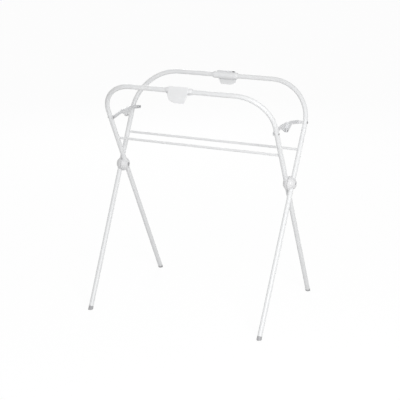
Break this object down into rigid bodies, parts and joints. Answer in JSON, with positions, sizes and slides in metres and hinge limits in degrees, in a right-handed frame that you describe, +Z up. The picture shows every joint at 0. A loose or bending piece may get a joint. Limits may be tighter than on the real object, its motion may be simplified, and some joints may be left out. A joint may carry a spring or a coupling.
{
  "type": "folding bath stand",
  "caption": "White folding baby bath stand: crossed tube frames on round hubs, folding end stays, and swinging rim clips on the rails.",
  "frame": {"origin": "on the floor, centred between the four feet", "axes": "+Z up, +X across the stand along the rails and the hub pivots, +Y from the front rail (the nearer one in the picture) to the rear rail"},
  "size_m": [0.8038, 0.6168, 0.944],
  "materials": {
    "frame_paint": "satin",
    "hub_plastic": "satin",
    "clip_plastic": "satin",
    "foot_plastic": "matte",
    "stay_steel": "satin",
    "rivet_steel": "satin",
    "washer_plastic": "matte",
    "sleeve_plastic": "matte",
    "pad_rubber": "matte"
  },
  "bodies": {
    "front_frame": {"front_frame_tube": "frame_paint", "front_cross_bar": "frame_paint", "back_left_foot": "foot_plastic", "back_right_foot": "foot_plastic", "left_inner_hub": "hub_plastic", "right_inner_hub": "hub_plastic", "hub_washers": "washer_plastic", "pivot_rivets": "rivet_steel", "pivot_rivet_washers": "rivet_steel", "stay_front_rivets": "rivet_steel"},
    "rear_frame": {"rear_frame_tube": "frame_paint", "rear_cross_bar": "frame_paint", "front_left_foot": "foot_plastic", "front_right_foot": "foot_plastic", "left_outer_hub": "hub_plastic", "right_outer_hub": "hub_plastic", "stay_rear_pins": "rivet_steel", "stay_pin_sleeves": "sleeve_plastic"},
    "left_front_arm": {"left_front_stay": "stay_steel", "left_knuckle_rivet": "rivet_steel", "left_knuckle_washer": "washer_plastic"},
    "left_rear_arm": {"left_rear_stay": "stay_steel", "left_pin_tail": "rivet_steel", "left_stop_plate": "stay_steel"},
    "right_front_arm": {"right_front_stay": "stay_steel", "right_knuckle_rivet": "rivet_steel", "right_knuckle_washer": "washer_plastic"},
    "right_rear_arm": {"right_rear_stay": "stay_steel", "right_pin_tail": "rivet_steel", "right_stop_plate": "stay_steel"},
    "front_bath_clip": {"front_clip": "clip_plastic", "front_clip_pad": "pad_rubber"},
    "rear_bath_clip": {"rear_clip": "clip_plastic", "rear_clip_pad": "pad_rubber"}
  },
  "joints": [
    {"name": "fold", "type": "hinge", "parent": "front_frame", "child": "rear_frame", "pos_m": [0, 0, 0.553], "axis": [1, 0, 0], "range_deg": [0, 36]},
    {"name": "left_stay_pivot", "type": "hinge", "parent": "front_frame", "child": "left_front_arm", "pos_m": [-0.3517, -0.12022, 0.77675], "axis": [1, 0, 0], "range_deg": [0, 91.5]},
    {"name": "left_stay_knuckle", "type": "hinge", "parent": "left_front_arm", "child": "left_rear_arm", "pos_m": [-0.3559, 0, 0.76575], "axis": [1, 0, 0], "range_deg": [-146.6, 0]},
    {"name": "right_stay_pivot", "type": "hinge", "parent": "front_frame", "child": "right_front_arm", "pos_m": [0.3517, -0.12022, 0.77675], "axis": [1, 0, 0], "range_deg": [0, 91.5]},
    {"name": "right_stay_knuckle", "type": "hinge", "parent": "right_front_arm", "child": "right_rear_arm", "pos_m": [0.3559, 0, 0.76575], "axis": [1, 0, 0], "range_deg": [-146.6, 0]},
    {"name": "front_clip_swing", "type": "hinge", "parent": "front_frame", "child": "front_bath_clip", "pos_m": [-0.01, -0.20042, 0.926], "axis": [-1, 0, 0], "range_deg": [0, 90]},
    {"name": "rear_clip_swing", "type": "hinge", "parent": "rear_frame", "child": "rear_bath_clip", "pos_m": [0.004, 0.20042, 0.926], "axis": [1, 0, 0], "range_deg": [0, 90]}
  ],
  "couplings": [
    {"joint": "left_stay_pivot", "follows": "fold", "ratio": 2.5345},
    {"joint": "left_stay_knuckle", "follows": "fold", "ratio": -4.069},
    {"joint": "right_stay_pivot", "follows": "fold", "ratio": 2.5345},
    {"joint": "right_stay_knuckle", "follows": "fold", "ratio": -4.069}
  ]
}
